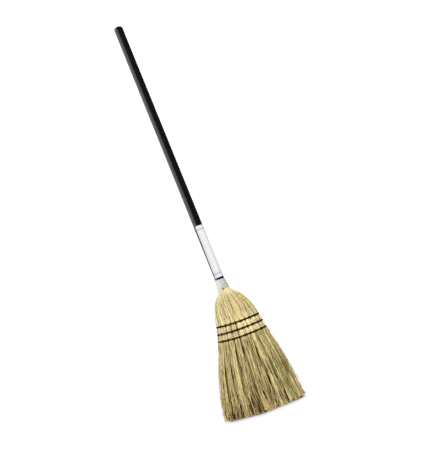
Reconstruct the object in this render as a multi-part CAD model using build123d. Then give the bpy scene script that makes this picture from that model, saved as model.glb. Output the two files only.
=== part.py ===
"""A corn broom: a stained dowel handle with a blank label, and a sewn head of broom corn bound on with wire.

The broom stands upright on the tips of its corn, +Z up the handle and its front face to -Y.
The origin is the middle of the tips, on the floor. Lengths are millimetres and angles degrees.
"""

import math
import os
from collections import namedtuple

from build123d import *

# Handle, a dowel whose foot tapers inside the head
overall_length = 965.0
handle_diameter = 21.6
handle_foot_diameter = 14.0
handle_foot_rise = 26.0
handle_end_radius = 5.5
taper_rise = 2.0

# Label, a strip of paper wrapped round the handle, with a seam on the left side
label_length = 127.0
label_thickness = 0.15
label_rise = 3.0
label_seam = 42.0
label_seam_turn = 80.0

# Binding wire, wound down a cone from the bare handle to the neck of the corn
winding_top = 303.2
winding_length = 22.5
wire_diameter = 1.1
wire_spacing = 0.7
wire_bend_radius = 1.6
wire_tuck = 4.0

# Nail through the neck, which stops the lower end of the wire
nail_diameter = 2.0
nail_head_diameter = 4.6
nail_head_thickness = 1.0
nail_length = 18.0
nail_turn = -3.0

# Corn head: heights above the floor, widths along X and depths along Y
corn_top_drop = 5.0
neck_drop = 3.0
neck_cover = 2.6
sewn_width = 115.6
sewn_depth = 39.0
tip_width = 188.0
tip_depth = 57.0
tip_lean = 14.0
tip_rise = 13.0
tip_rise_start = 20.0
pressed_tail = 9.0
hurl_depth = 8.0
hurl_columns = 9
rib_rise = 1.0
sewn_squareness = 3.0

# Sewing: three rows of twine, two turns each, higher at the ends than in the middle
bottom_row_height = 168.2
row_spacing = 16.2
row_count = 3
row_sag = 3.3
row_tilt = 2.5
twine_diameter = 1.8
twine_spacing = 0.5

# Loose strands below the pressed corn
hurl_strands_across = 6
hurl_strands_deep = 3
shoulder_strands_around = 8
shoulder_strands_deep = 4
inside_strands_across = 20
inside_strands_deep = 3
inside_strand_spread = 0.72
strand_root_width = 1.4
strand_bend_width = 1.9
strand_tip_width = 1.5
strand_root_length = 4.0
tip_scatter = 6.0
tip_scatter_cut = 0.4

# Clearances
seat_gap = 0.3
label_gap = 0.03
wire_gap = 0.12
twine_gap = 0.25
hole_gap = 0.2

# Step by which directions along a curve are found
small = 1e-4

# Places that follow from the sizes above
handle_radius = handle_diameter / 2
handle_foot = bottom_row_height + row_spacing * (row_count - 1) + handle_foot_rise
taper_start = winding_top + taper_rise
winding_bottom = winding_top - winding_length
wire_radius = wire_diameter / 2
wire_turns = round(2 * winding_length / (wire_diameter + wire_spacing)) / 2
corn_top = winding_top - corn_top_drop
neck_height = winding_bottom - neck_drop
neck_radius = handle_radius + neck_cover
wire_top_radius = handle_radius + wire_radius + wire_gap
wire_bottom_radius = neck_radius
pressed_end = bottom_row_height - pressed_tail
nail_seat = wire_bottom_radius + wire_radius + wire_gap
stitch_gap = twine_diameter + 2 * seat_gap
turn_lift = (twine_diameter + twine_spacing) / 2
stitch_reach = twine_diameter + twine_gap
stitch_half_height = turn_lift + stitch_reach
band_offset = rib_rise + twine_diameter / 2 + twine_gap
footprint_shift = Location((tip_lean, 0, 0))

# Shape of the pressed corn from neck to bottom row, and of the loose corn from bottom row to tips,
# as shares of the drop, of the growth in width and depth, and of the flattening or leaning
shoulder_shape = (
    (0.00, 0.00, 0.00, 0.00),
    (0.06, 0.14, 0.28, 0.15),
    (0.18, 0.41, 0.68, 0.45),
    (0.42, 0.66, 0.92, 0.80),
    (0.62, 0.79, 1.00, 1.00),
    (1.00, 1.00, 1.00, 1.00),
)
skirt_shape = (
    (0.50, 0.69, 0.50, 0.66),
    (1.00, 1.00, 1.00, 1.00),
)

Station = namedtuple("Station", "height width depth flat lean")


def mix(low, high, share):
    return low + (high - low) * share


def handle_radius_at(height):
    """Radius of the handle, which tapers to its foot below the winding."""
    share = (taper_start - height) / (taper_start - handle_foot)
    return mix(handle_radius, handle_foot_diameter / 2, min(max(share, 0), 1))


def wire_radius_at(height):
    """Distance from the handle's axis to the middle of the wire."""
    return mix(wire_top_radius, wire_bottom_radius, (winding_top - height) / winding_length)


def head_stations():
    """Outlines of the head from the top of the corn to the tips: half widths and half depths."""
    stations = []
    for height in (corn_top, winding_bottom):
        radius = wire_radius_at(height) - wire_radius - wire_gap
        stations.append(Station(height, radius, radius, 0, 0))
    for drop, width, depth, flat in shoulder_shape:
        stations.append(
            Station(
                mix(neck_height, bottom_row_height, drop),
                mix(neck_radius, sewn_width / 2, width),
                mix(neck_radius, sewn_depth / 2, depth),
                flat,
                0,
            )
        )
    for drop, width, depth, lean in skirt_shape:
        stations.append(
            Station(
                mix(bottom_row_height, 0, drop),
                mix(sewn_width, tip_width, width) / 2,
                mix(sewn_depth, tip_depth, depth) / 2,
                1,
                -tip_lean * lean,
            )
        )
    return stations


stations = head_stations()


def station_at(height):
    """The head's outline at any height, straight between the stations."""
    for above, below in zip(stations, stations[1:]):
        if height >= below.height:
            share = (above.height - height) / (above.height - below.height)
            return Station(*(mix(high, low, share) for high, low in zip(above, below)))
    return stations[-1]


pressed_stations = [s for s in stations if s.height >= bottom_row_height] + [station_at(pressed_end)]


def squareness(station):
    return mix(2, sewn_squareness, station.flat)


def across(station, column):
    """Share of the half width at a column from -1 to 1: even angles at the neck, even steps where sewn."""
    return mix(math.sin(math.radians(90 * column)), column, station.flat)


def inner_size(station):
    """Half width and half depth of the space inside the hurl, which clears the handle."""
    depth = max(handle_radius_at(station.height) + seat_gap, station.depth - hurl_depth)
    return mix(depth, station.width, station.flat), depth


def on_outline(station, column, side, inner=False):
    """Point of the outer or inner outline at a column, on the front (side -1) or the back (side 1)."""
    width, depth = inner_size(station) if inner else (station.width, station.depth)
    share = across(station, column)
    power = squareness(station)
    rise = max(1 - abs(share) ** power, 0) ** (1 / power)
    return Vector(station.lean + width * share, side * depth * rise, station.height)


def column_edges(station, index):
    """The two sides of a column, drawn in by half the gap for the stitches, which closes up at the tips."""
    gap = mix(seat_gap, stitch_gap, station.flat) * min(station.height / pressed_end, 1)
    half_gap = gap / 2 / (station.width * mix(math.pi / 2, 1, station.flat))
    pitch = 2 / hurl_columns
    low = -1 + index * pitch + half_gap
    return low, low + pitch - 2 * half_gap


def strand(points, widths):
    """One stalk of corn: four-sided, through points from its root to its tip."""
    squares = [Plane(origin=point) * Rectangle(width, width) for point, width in zip(points, widths)]
    return Solid.make_loft([square.wire() for square in squares], ruled=True)


def strands(place, count_across, count_deep):
    """Strands set out in rows across and deep, where place gives a point from two shares and a height."""
    made = []
    bend = mix(bottom_row_height, 0, skirt_shape[0][0])
    for i in range(count_across):
        for j in range(count_deep):
            share = (i + 0.5) / count_across
            deep = (j + 0.5) / count_deep
            scatter = (i * count_deep + j) * (math.sqrt(5) - 1) / 2 % 1
            tip = place(share, deep, 0)
            over = max(-tip_rise_start - tip.X, 0) / (tip_width / 2 + tip_lean - tip_rise_start)
            height = tip_rise * over + tip_scatter * max(scatter - tip_scatter_cut, 0)
            points = [place(share, deep, z) for z in (pressed_end + strand_root_length, bend, height)]
            made.append(strand(points, (strand_root_width, strand_bend_width, strand_tip_width)))
    return made


def bunch(sections, tails):
    """A bunch of corn: the pressed stalks as one body, and the loose strands grown out of its end."""
    pressed = Solid.make_loft(sections, ruled=True)
    return pressed.fuse(*tails)


def hurl(index):
    """One rib of the smooth outer corn, on the front."""
    sections = []
    for station in pressed_stations:
        low, high = column_edges(station, index)
        outer_low = on_outline(station, low, -1)
        outer_high = on_outline(station, high, -1)
        inner_low = on_outline(station, low, -1, inner=True)
        inner_high = on_outline(station, high, -1, inner=True)
        middle = on_outline(station, (low + high) / 2, -1)
        away = (outer_high - outer_low).cross(Vector(0, 0, 1)).normalized()
        crest = middle + away * rib_rise * station.flat
        edges = [
            Edge.make_three_point_arc(outer_low, crest, outer_high),
            Edge.make_line(outer_high, inner_high),
            Edge.make_line(inner_high, inner_low),
            Edge.make_line(inner_low, outer_low),
        ]
        sections.append(Wire(edges))

    def place(share, deep, height):
        station = station_at(height)
        low, high = column_edges(station, index)
        column = mix(low, high, share)
        return mix(on_outline(station, column, -1, inner=True), on_outline(station, column, -1), deep)

    return bunch(sections, strands(place, hurl_strands_across, hurl_strands_deep))


def shoulder(side):
    """The bunch that fills out one end of the head, left (side -1) or right (side 1)."""
    index = hurl_columns - 1

    def corner(station, face, inner=False):
        low, high = column_edges(station, index)
        return on_outline(station, side * low, face, inner)

    def end(station, inner=False):
        if not inner:
            return Vector(station.lean + side * station.width, 0, station.height)
        near = corner(station, 1, inner=True)
        reach = (near.X - station.lean) / math.sin(math.radians(90 * (1 - 2 / hurl_columns)))
        return Vector(station.lean + reach, 0, station.height)

    sections = []
    for station in pressed_stations:
        front = corner(station, -1)
        back = corner(station, 1)
        inner_front = corner(station, -1, inner=True)
        inner_back = corner(station, 1, inner=True)
        edges = [
            Edge.make_three_point_arc(front, end(station), back),
            Edge.make_line(back, inner_back),
            Edge.make_three_point_arc(inner_back, end(station, inner=True), inner_front),
            Edge.make_line(inner_front, front),
        ]
        sections.append(Wire(edges))

    def place(share, deep, height):
        station = station_at(height)
        outer = Edge.make_three_point_arc(corner(station, -1), end(station), corner(station, 1))
        inner = Edge.make_three_point_arc(
            corner(station, -1, inner=True), end(station, inner=True), corner(station, 1, inner=True)
        )
        return mix(inner @ share, outer @ share, deep)

    return bunch(sections, strands(place, shoulder_strands_around, shoulder_strands_deep))


def inside_size(station):
    """Half width and depth of one half of the inside corn, clear of the hurl and the shoulders."""
    low, high = column_edges(station, hurl_columns - 2)
    width = on_outline(station, high, 1, inner=True).X - station.lean
    return width - seat_gap, inner_size(station)[1] - 2 * seat_gap


def inside_corn():
    """The front half of the inside corn, round the handle's foot and between the two layers of hurl."""
    tops = [s for s in pressed_stations if s.flat > 0 and s.depth - hurl_depth > handle_radius_at(s.height)]
    sections = []
    for station in tops:
        width, depth = inside_size(station)
        left = Vector(station.lean - width, -seat_gap / 2, station.height)
        right = Vector(station.lean + width, -seat_gap / 2, station.height)
        crown = Vector(station.lean, -depth, station.height)
        sections.append(Wire([Edge.make_three_point_arc(left, crown, right), Edge.make_line(right, left)]))

    def place(share, deep, height):
        station = station_at(height)
        width, depth = inside_size(station)
        radius = (width**2 + depth**2) / 2 / depth
        x = mix(-width, width, share) * inside_strand_spread
        crown = math.sqrt(radius**2 - x**2) - (radius - depth)
        return Vector(station.lean + x, -mix(strand_bend_width / 2, crown, deep), height)

    corn = bunch(sections, strands(place, inside_strands_across, inside_strands_deep))
    corn -= handle_body(seat_gap)
    return corn - [slot for row in range(row_count) for slot in stitch_slots(row)]


def handle_body(clearance=0):
    """The dowel and its tapered foot, or the room that they take up."""
    foot = handle_foot - clearance
    dowel = Pos(0, 0, taper_start) * Cylinder(
        handle_radius + clearance, overall_length - taper_start, align=(Align.CENTER, Align.CENTER, Align.MIN)
    )
    taper = Pos(0, 0, foot) * Cone(
        handle_foot_diameter / 2 + clearance,
        handle_radius + clearance,
        taper_start - foot,
        align=(Align.CENTER, Align.CENTER, Align.MIN),
    )
    return dowel + taper


def outward(turn, height):
    """A plane on the handle's axis that faces out at an angle from the front."""
    return Plane(origin=(0, 0, height), z_dir=Vector(0, -1, 0).rotate(Axis.Z, turn))


def wire_turns_path():
    """Points and directions at each quarter of a turn, from the back of the handle down to the nail."""
    last = nail_turn - math.degrees((nail_diameter / 2 + wire_gap + wire_diameter) / wire_bottom_radius)
    quarters = round(4 * wire_turns)

    def at(share):
        turn = last - 360 * wire_turns * (1 - share)
        height = mix(winding_top, winding_bottom, share)
        return outward(turn, height).z_dir * wire_radius_at(height) + Vector(0, 0, height)

    shares = [quarter / quarters for quarter in range(quarters + 1)]
    return [at(share) for share in shares], [(at(s + small) - at(s - small)).normalized() for s in shares]


def biarcs(points, directions):
    """Pairs of arcs that run smoothly through the points in the given directions."""
    edges = []
    for p, q, start, end in zip(points, points[1:], directions, directions[1:]):
        chord = q - p
        ahead = chord.dot(start + end)
        square = chord.dot(chord)
        reach = square / (math.sqrt(ahead**2 + 2 * (1 - start.dot(end)) * square) + ahead)
        first = p + start * reach
        second = q - end * reach
        middle = (first + second) * 0.5
        edges.append(Edge.make_tangent_arc(p, start, middle))
        edges.append(Edge.make_tangent_arc(middle, second - first, q))
    return edges


def wire_tuck_path(start, direction):
    """The top end of the wire, which bends in square to the handle and ends in its hole."""
    inward = Vector(-start.X, -start.Y, 0).normalized()
    bend = start - (direction - inward) * wire_bend_radius
    return [Edge.make_line(bend + inward * wire_tuck, bend), Edge.make_tangent_arc(bend, -inward, start)]


def tube(edges, radius):
    path = Wire(edges)
    section = Plane(origin=path @ 0, z_dir=path % 0) * Circle(radius)
    return sweep(section, path)


def least_gap(edges, diameter, apart):
    """Least gap between parts of a tube that lie further than a length apart along it."""
    steps = 8
    points = [edge @ (step / steps) for edge in edges for step in range(steps)]
    along = [0]
    for p, q in zip(points, points[1:]):
        along.append(along[-1] + (q - p).length)
    gaps = []
    for i, p in enumerate(points):
        gaps += [(p - q).length for q, far in zip(points[i:], along[i:]) if far - along[i] > apart]
    return min(gaps) - diameter


def binding_wire():
    points, directions = wire_turns_path()
    end = points[-1] + directions[-1] * wire_diameter
    edges = wire_tuck_path(points[0], directions[0])
    edges += biarcs(points, directions)
    edges.append(Edge.make_line(points[-1], end))
    print("least gap between turns of the wire", round(least_gap(edges, wire_diameter, handle_diameter), 2))
    return tube(edges, wire_radius)


def nail_room(clearance):
    """The nail's shank, or the hole that it is driven through."""
    shank = Cylinder(nail_diameter / 2 + clearance, nail_length, align=(Align.CENTER, Align.CENTER, Align.MAX))
    return outward(nail_turn, winding_bottom) * Pos(0, 0, nail_seat) * shank


def nail():
    head = Cylinder(nail_head_diameter / 2, nail_head_thickness, align=(Align.CENTER, Align.CENTER, Align.MIN))
    head = fillet(head.edges().sort_by(Axis.Z)[-1], nail_head_thickness / 2)
    return nail_room(0) + outward(nail_turn, winding_bottom) * Pos(0, 0, nail_seat) * head


def handle():
    body = handle_body()
    body = fillet(body.edges().sort_by(Axis.Z)[-1], handle_end_radius)
    points, directions = wire_turns_path()
    wire_hole = tube(wire_tuck_path(points[0], directions[0]), wire_radius + hole_gap)
    return body - nail_room(hole_gap) - wire_hole


def label():
    """A strip that goes nearly all the way round the handle, with bare wood at its seam."""
    bottom = taper_start + label_rise
    inner = handle_radius + label_gap
    sleeve = Cylinder(inner + label_thickness, label_length, align=(Align.CENTER, Align.CENTER, Align.MIN))
    sleeve -= Cylinder(inner, label_length, align=(Align.CENTER, Align.CENTER, Align.MIN))
    gap = Cylinder(
        handle_diameter, label_length, arc_size=label_seam, align=(Align.NONE, Align.NONE, Align.MIN)
    )
    left = -90 - label_seam_turn - label_seam / 2
    return Pos(0, 0, bottom) * (sleeve - Rot(0, 0, left) * gap)


def row_height(row, share):
    """Height of a row of sewing, from the left end of the head (-1) to the right (1)."""
    return bottom_row_height + row_spacing * row + row_sag * share**2 - row_tilt * share


def band_point(row, angle, lift=0):
    """Point on the way of the twine round the head, at an angle from the middle of the front."""
    lean = math.sin(math.radians(angle))
    face = math.cos(math.radians(angle))
    share = math.copysign(abs(lean) ** (2 / sewn_squareness), lean)
    rise = math.copysign(abs(face) ** (2 / sewn_squareness), face)
    height = row_height(row, share) + lift
    station = station_at(height)
    return Vector((station.width + band_offset) * share, -(station.depth + band_offset) * rise, height)


def groove_angle(row, column):
    """Angle at which the band crosses the groove beside a column."""
    share = -1 + 2 * column / hurl_columns
    width = station_at(row_height(row, share)).width
    share *= width / (width + band_offset)
    return math.degrees(math.asin(math.copysign(abs(share) ** (sewn_squareness / 2), share)))


def sewing_band(row):
    """One row's band of twine: two turns round the head, with the step between them in the middle of the back."""
    grooves = [groove_angle(row, column) for column in range(1, hurl_columns)]
    ends = [mix(grooves[-1], 90, share) for share in (1 / 3, 2 / 3, 1)]
    front = [-end for end in reversed(ends)] + grooves + ends
    back = [180 - angle for angle in front[1:-1]]
    turn = sorted(front + [angle - 360 if angle > 180 else angle for angle in back])
    points = []
    directions = []
    for lift in (turn_lift, -turn_lift):
        points += [band_point(row, angle, lift) for angle in turn]
        steps = [band_point(row, a + small, lift) - band_point(row, a - small, lift) for a in turn]
        directions += [step.normalized() for step in steps]
    edges = biarcs(points, directions)
    print("least gap between turns of the twine", round(least_gap(edges, twine_diameter, sewn_width), 2))
    return tube(edges, twine_diameter / 2)


def groove_frame(row, column):
    """The middle of a groove at a row: its place on the band, and a plane through it along the groove."""
    crossing = band_point(row, groove_angle(row, column))
    share = -1 + 2 * column / hurl_columns
    above = on_outline(station_at(crossing.Z + twine_diameter), share, -1)
    below = on_outline(station_at(crossing.Z - twine_diameter), share, -1)
    along = Vector(above.X - below.X, 0, above.Z - below.Z).normalized()
    return crossing, Plane(origin=(crossing.X, 0, crossing.Z), x_dir=(along.Z, 0, -along.X), z_dir=along)


def stitch(row, column):
    """A loop of twine through a groove, round the band on the front and on the back."""
    crossing, frame = groove_frame(row, column)
    edges = []
    for side in (1, -1):
        face = side * crossing.Y
        crown = side * (crossing.Y - stitch_reach)
        bend = side * (crossing.Y - stitch_reach * math.sqrt(0.5))
        bend_height = side * (turn_lift + stitch_reach * math.sqrt(0.5))
        top = side * stitch_half_height
        knee = side * turn_lift
        edges += [
            Edge.make_line((0, -face, top), (0, face, top)),
            Edge.make_three_point_arc((0, face, top), (0, bend, bend_height), (0, crown, knee)),
            Edge.make_line((0, crown, knee), (0, crown, -knee)),
            Edge.make_three_point_arc((0, crown, -knee), (0, bend, -bend_height), (0, face, -top)),
        ]
    return frame * tube(edges, twine_diameter / 2)


def stitch_slots(row):
    """Room for the stitches of one row where they pass through the inside corn."""
    height = 2 * stitch_half_height + stitch_gap
    slots = []
    for column in range(1, hurl_columns):
        crossing, frame = groove_frame(row, column)
        slots.append(frame * Box(stitch_gap, sewn_depth, height))
    return slots


def corn_nodes():
    """Every bunch of corn by name: the back is the front seen in a mirror, without the nail's hole."""
    front_inside = inside_corn()
    nodes = {
        "front_inside_corn": front_inside,
        "back_inside_corn": mirror(front_inside, about=Plane.XZ),
        "left_shoulder_corn": shoulder(-1),
        "right_shoulder_corn": shoulder(1),
    }
    for index in range(1, hurl_columns - 1):
        rib = hurl(index)
        nodes[f"front_hurl_{index}"] = rib - nail_room(hole_gap)
        nodes[f"back_hurl_{index}"] = mirror(rib, about=Plane.XZ)
    return nodes


def sewing_nodes():
    """The band and the stitches of each row, from the bottom row up."""
    nodes = {}
    for row in range(row_count):
        nodes[f"sewing_band_{row + 1}"] = sewing_band(row)
        nodes[f"stitches_{row + 1}"] = Compound([stitch(row, column) for column in range(1, hurl_columns)])
    return nodes


def main():
    nodes = {
        "handle": handle(),
        "label": label(),
        "binding_wire": binding_wire(),
        "neck_nail": nail(),
    }
    nodes |= corn_nodes()
    nodes |= sewing_nodes()
    os.makedirs("parts", exist_ok=True)
    for name, shape in nodes.items():
        export_step(footprint_shift * shape, f"parts/{name}.step")


main()
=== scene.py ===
"""Looks of the corn broom, built around its solids.

Lengths are metres. +Z runs up the handle, the front faces -Y, and the tips stand on the floor at zero.
"""

from collections import namedtuple
from functools import partial
from math import asin, copysign, cos, exp, pi, radians, sin, tau
from types import SimpleNamespace

import bpy
from mathutils import Matrix, Vector


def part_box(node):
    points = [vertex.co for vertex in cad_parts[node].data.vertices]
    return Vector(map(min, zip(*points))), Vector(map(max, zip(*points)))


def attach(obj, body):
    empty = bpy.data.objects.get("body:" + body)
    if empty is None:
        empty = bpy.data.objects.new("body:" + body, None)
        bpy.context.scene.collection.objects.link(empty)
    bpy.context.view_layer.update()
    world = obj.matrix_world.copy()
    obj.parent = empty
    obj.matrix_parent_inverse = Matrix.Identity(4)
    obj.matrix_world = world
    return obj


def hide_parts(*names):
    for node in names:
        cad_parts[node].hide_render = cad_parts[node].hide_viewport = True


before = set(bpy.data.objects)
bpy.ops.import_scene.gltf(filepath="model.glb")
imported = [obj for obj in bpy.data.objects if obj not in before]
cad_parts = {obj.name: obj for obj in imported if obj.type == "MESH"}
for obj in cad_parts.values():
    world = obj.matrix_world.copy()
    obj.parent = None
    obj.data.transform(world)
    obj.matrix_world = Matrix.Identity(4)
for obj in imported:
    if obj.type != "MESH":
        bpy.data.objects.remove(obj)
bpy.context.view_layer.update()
scene = bpy.context.scene
mm = 0.001

# Handle, label and winding, read from the solids
handle_low, handle_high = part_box("handle")
label_low, label_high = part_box("label")
wire_low, wire_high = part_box("binding_wire")
axis_x = (handle_low.x + handle_high.x) / 2
handle_radius = (handle_high.x - handle_low.x) / 2

# Label: degrees from the right-hand side to its two edges, at the bottom and at the top, as it lies askew
label_start = (-140, -128)
label_end = (176, 178)
label_columns = 96
label_rows = 32
label_gap = 0.03 * mm
label_thickness = 0.15 * mm
label_lift = 0.1 * mm
label_lift_reach = 1.5 * mm

# Plain band printed near both ends of the label
label_band_inset = 9 * mm
label_band_width = 5 * mm

# Binding wire: the solid has open turns, the real winding lies close
wire_diameter = 1.1 * mm
wire_drawn_radius = 0.495 * wire_diameter
wire_gap = 0.12 * mm
wire_turns = 20.5
wire_end_turn = -12.5
wire_turn_steps = 48
wire_tuck = 4 * mm
wire_bend = 0.7 * wire_diameter
wire_warm_reach = 15 * mm
winding_top = wire_high.z - wire_diameter / 2
winding_bottom = wire_low.z + wire_diameter / 2
wire_top_radius = handle_radius + wire_diameter / 2 + wire_gap

# Corn head: widths along X, depths along Y
corn_top = winding_top - 5 * mm
neck_height = winding_bottom - 3 * mm
neck_radius = handle_radius + 2.6 * mm
sewn_width = 115.6 * mm
sewn_depth = 39 * mm
sewn_squareness = 3
tip_width = 184.5 * mm
tip_depth = 57 * mm
tip_lean = 13.2 * mm
shoulder_lean = 2.2 * mm
tip_rise = 11 * mm
tip_rise_start = 20 * mm
hurl_depth = 8 * mm
hurl_columns = 9

# Sewing: two turns of twine a row, higher at the ends than in the middle
bottom_row = 168.2 * mm
row_spacing = 16.2 * mm
row_count = 3
row_sag = 3.3 * mm
row_tilt = 2.5 * mm
left_lift = (2 * mm, 0, 0)
twine_diameter = 1.8 * mm
twine_ply_offset = 0.26 * twine_diameter
twine_ply_radius = 0.27 * twine_diameter
twine_lay = 5.5 * mm
twine_seat = 0.6 * mm
twine_tuck = 3 * twine_diameter
turn_lift = 1.0 * mm
turn_steps = 420
turn_step_span = 0.012
turn_tuck_span = 0.005
groove_pull = 1.1 * mm
groove_reach = 0.2
stitch_slant = 0.5 * mm
stitch_height = turn_lift + 0.85 * twine_diameter
stitch_rise = 0.75 * twine_diameter
stitch_roundness = 0.7
stitch_steps = 16

# How the sewing shapes the corn: rise of each rib's crest, fall of its edges, rise of the two ends and gap
# between ribs, each under a row, midway between rows, well above the rows, and well below them
crest_rise = (0.9 * mm, 2.0 * mm, 0.5 * mm, 0.8 * mm)
edge_fall = (2.0 * mm, 1.4 * mm, 0.0 * mm, 3.0 * mm)
end_rise = (-0.6 * mm, 1.6 * mm, 0.8 * mm, 0.8 * mm)
rib_gap = (2.2 * mm, 1.1 * mm, 0.1 * mm, 2.4 * mm)
neck_gap_share = 0.1
rib_roundness = 0.6
end_roundness = 6
row_bite = 4.5 * mm
reach_above_rows = 48 * mm
reach_below_rows = 70 * mm

# Inner sides of the bunches: shares of the outer width, at the neck and where sewn, and of the outer depth
end_inner_width = (0.75, 0.98)
end_inner_depth = 0.55
inside_edge = 1 - 1.1 / hurl_columns
inside_gap = 0.2 * mm

# Shape of the pressed corn from neck to bottom row, and of the loose corn from bottom row to tips, as shares
# of the drop, of the growth in width and depth, of the flattening, and of the lean
shoulder_shape = (
    (0.00, 0.00, 0.00, 0.00, 0.00),
    (0.06, 0.14, 0.28, 0.15, 0.10),
    (0.18, 0.41, 0.68, 0.45, 0.50),
    (0.42, 0.66, 0.92, 0.80, 0.90),
    (0.62, 0.79, 1.00, 1.00, 1.00),
    (1.00, 1.00, 1.00, 1.00, -0.30),
)
skirt_shape = (
    (0.50, 0.63, 0.50, 1.00, 0.63),
    (0.85, 0.93, 0.85, 1.00, 0.93),
    (1.00, 1.00, 1.00, 1.00, 1.00),
)

Station = namedtuple("Station", "height width depth flat lean")


def mix(low, high, share):
    return low + (high - low) * share


def clamp(value, low=0, high=1):
    return min(max(value, low), high)


def ease(value, start, end):
    """Smooth step from 0 at the start to 1 at the end."""
    share = clamp((value - start) / (end - start))
    return share * share * (3 - 2 * share)


# Outline of the head

def head_stations():
    """Outlines of the head from the top of the corn to the tips: half widths and half depths."""
    top_radius = mix(wire_top_radius, neck_radius, (winding_top - corn_top) / (winding_top - winding_bottom))
    stations = []
    for height, radius in ((corn_top, top_radius), (winding_bottom, neck_radius)):
        under_wire = radius - wire_diameter / 2
        stations.append(Station(height, under_wire, under_wire, 0, 0))
    neck = Station(neck_height, neck_radius, neck_radius, 0, 0)
    sewn = Station(bottom_row, sewn_width / 2, sewn_depth / 2, 1, shoulder_lean)
    tips = Station(0, tip_width / 2, tip_depth / 2, 1, -tip_lean)
    for shape, start, end in ((shoulder_shape, neck, sewn), (skirt_shape, sewn._replace(lean=0), tips)):
        stations += [Station(*map(mix, start, end, shares)) for shares in shape]
    return stations


def with_slopes(part):
    """Stations and the slopes at them, field by field, for a smooth curve that never overshoots them."""
    fields = []
    for values in zip(*part):
        steps = [
            (after - before) / (low.height - high.height)
            for before, after, high, low in zip(values, values[1:], part, part[1:])
        ]
        inner = [0 if a * b <= 0 else 2 * a * b / (a + b) for a, b in zip(steps, steps[1:])]
        fields.append([steps[0], *inner, steps[-1]])
    return part, fields


stations = head_stations()
pressed_part = with_slopes([station for station in stations if station.height >= bottom_row])
loose_part = with_slopes([station for station in stations if station.height <= bottom_row])


def station_at(height):
    """The head's outline at any height: smooth through the stations, with a bend at the bottom row."""
    height = clamp(height, 0, corn_top)
    part, part_slopes = pressed_part if height >= bottom_row else loose_part
    index = next(i for i in range(len(part) - 1) if height >= part[i + 1].height)
    above, below = part[index], part[index + 1]
    span = above.height - below.height
    share = (above.height - height) / span
    fields = []
    for values, slopes in zip(zip(above, below), part_slopes):
        start = share * (1 - share) ** 2 * slopes[index] * -span
        end = share**2 * (share - 1) * slopes[index + 1] * -span
        fields.append(mix(*values, ease(share, 0, 1)) + start + end)
    return Station(height, *fields[1:])


def inner_station(station):
    """The outline between the hurl and the inside corn."""
    depth = max(handle_radius, station.depth - hurl_depth)
    return station._replace(width=mix(depth, station.width, station.flat), depth=depth)


def squareness(station):
    return mix(2, sewn_squareness, station.flat)


def across(station, column):
    """Share of the half width at a column from -1 to 1: even angles at the neck, even steps where sewn."""
    return mix(sin(radians(90 * column)), column, station.flat)


def outline_point(station, share, side, rise=0):
    """Point on an outline at a share of its half width, on the front (-1) or the back (1), moved outwards."""
    power = squareness(station)
    share = clamp(share, -1)
    depth_share = max(1 - abs(share) ** power, 0) ** (1 / power)
    point = Vector((station.width * share, side * station.depth * depth_share, 0))
    away_x = copysign(abs(share) ** (power - 1), share) / station.width
    away_y = side * depth_share ** (power - 1) / station.depth
    point += Vector((away_x, away_y, 0)).normalized() * rise
    return point + Vector((axis_x + station.lean, 0, station.height))


def row_height(row, share):
    """Height of a row of sewing, from the left end of the head (-1) to the right (1)."""
    bend = row_sag * share**2 - row_tilt * share + left_lift[row] * max(-share, 0) ** 2
    return bottom_row + row_spacing * row + bend


def by_rows(height, share, values):
    """A value that changes under a row, between rows, above and below them."""
    under, between, above, below = values
    nearest = min(abs(height - row_height(row, share)) for row in range(row_count))
    sewn = mix(between, under, exp(-((nearest / row_bite) ** 2)))
    sewn = mix(sewn, above, ease(height - row_height(row_count - 1, share), 0, reach_above_rows))
    return mix(sewn, below, ease(row_height(0, share) - height, 0, reach_below_rows))


def column_edges(station, index):
    """The two sides of a column, drawn in by half the gap beside it."""
    pitch = 2 / hurl_columns
    middle = -1 + (index + 0.5) * pitch
    gap = by_rows(station.height, middle, rib_gap) * mix(neck_gap_share, 1, station.flat)
    half_gap = gap / 2 / (station.width * mix(pi / 2, 1, station.flat))
    return middle - pitch / 2 + half_gap, middle + pitch / 2 - half_gap


def corn_rise(station, place, crest, crown):
    """How far the corn stands out, from the edge of a bunch (crown 0) to its crest (crown 1)."""
    edge = -by_rows(station.height, place, edge_fall)
    return mix(edge, by_rows(station.height, place, crest), crown) * station.flat


def tip_lift(x):
    """Height of the trimmed tips, which rise towards the left end."""
    over = max(-tip_rise_start - (x - axis_x), 0) / (tip_width / 2 + tip_lean - tip_rise_start)
    return tip_rise * over


# Guide surfaces for the strands, from the top of the corn to the tips, each with a bed below the strands

guide_rows = 110
guide_margin = 0.35
bed_depth = 0.34
bed_end = bottom_row - 12 * mm
core_depth = 0.7
core_end = 10 * mm
core_ease = 30 * mm


def hurl_point(index, side, station, share):
    """Outer and inner point of one rib on the front (-1) or the back (1)."""
    low, high = column_edges(station, index)
    reach = across(station, mix(low, high, share))
    crown = max(1 - (2 * (share % 1) - 1) ** 2, 0) ** rib_roundness
    rise = corn_rise(station, (low + high) / 2, crest_rise, crown)
    return outline_point(station, reach, side, rise), outline_point(inner_station(station), reach, side)


def shoulder_point(end, station, share):
    """Outer and inner point of the bunch at the left (-1) or right (1) end of the head."""
    share = clamp(share)
    power = squareness(station)
    corner = across(station, column_edges(station, hurl_columns - 1)[0])
    turn = asin(corner ** (power / 2))
    angle = mix(turn, pi - turn, share)
    reach = end * sin(angle) ** (2 / power)
    side = -1 if cos(angle) >= 0 else 1
    rise = corn_rise(station, end, end_rise, max(1 - (2 * share - 1) ** end_roundness, 0))
    outer = outline_point(station, reach, side, rise)
    inner_reach = end * station.width * corner * mix(*end_inner_width, station.flat)
    return outer, Vector((axis_x + station.lean + inner_reach, outer.y * end_inner_depth, station.height))


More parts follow.
